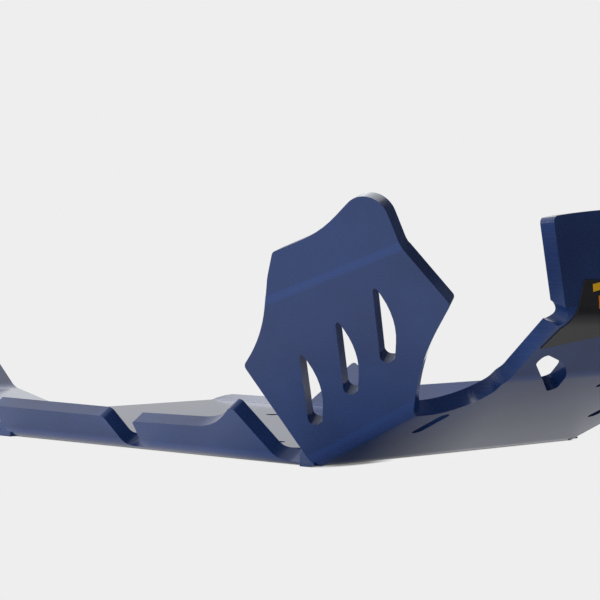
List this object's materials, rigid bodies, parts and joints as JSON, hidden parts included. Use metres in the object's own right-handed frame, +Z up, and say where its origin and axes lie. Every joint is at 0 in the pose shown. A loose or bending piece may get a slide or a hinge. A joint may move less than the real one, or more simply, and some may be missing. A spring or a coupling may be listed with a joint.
{
  "type": "motorcycle skid plate",
  "caption": "Folded plastic skid plate for an off-road motorcycle: flat base, side flanges, slotted wings, a rising nose with a flap, and a tail tongue.",
  "frame": {"origin": "on the underside, in the middle of the flat base between its rear edge and its front fold line", "axes": "+X forward along the machine, +Y to the machine's left, +Z up"},
  "size_m": [0.5337, 0.3156, 0.1315],
  "materials": {
    "hdpe_sheet": "satin",
    "printed_film": "gloss"
  },
  "bodies": {
    "root": {"skid_plate": "hdpe_sheet", "front_film": "printed_film"}
  },
  "joints": []
}
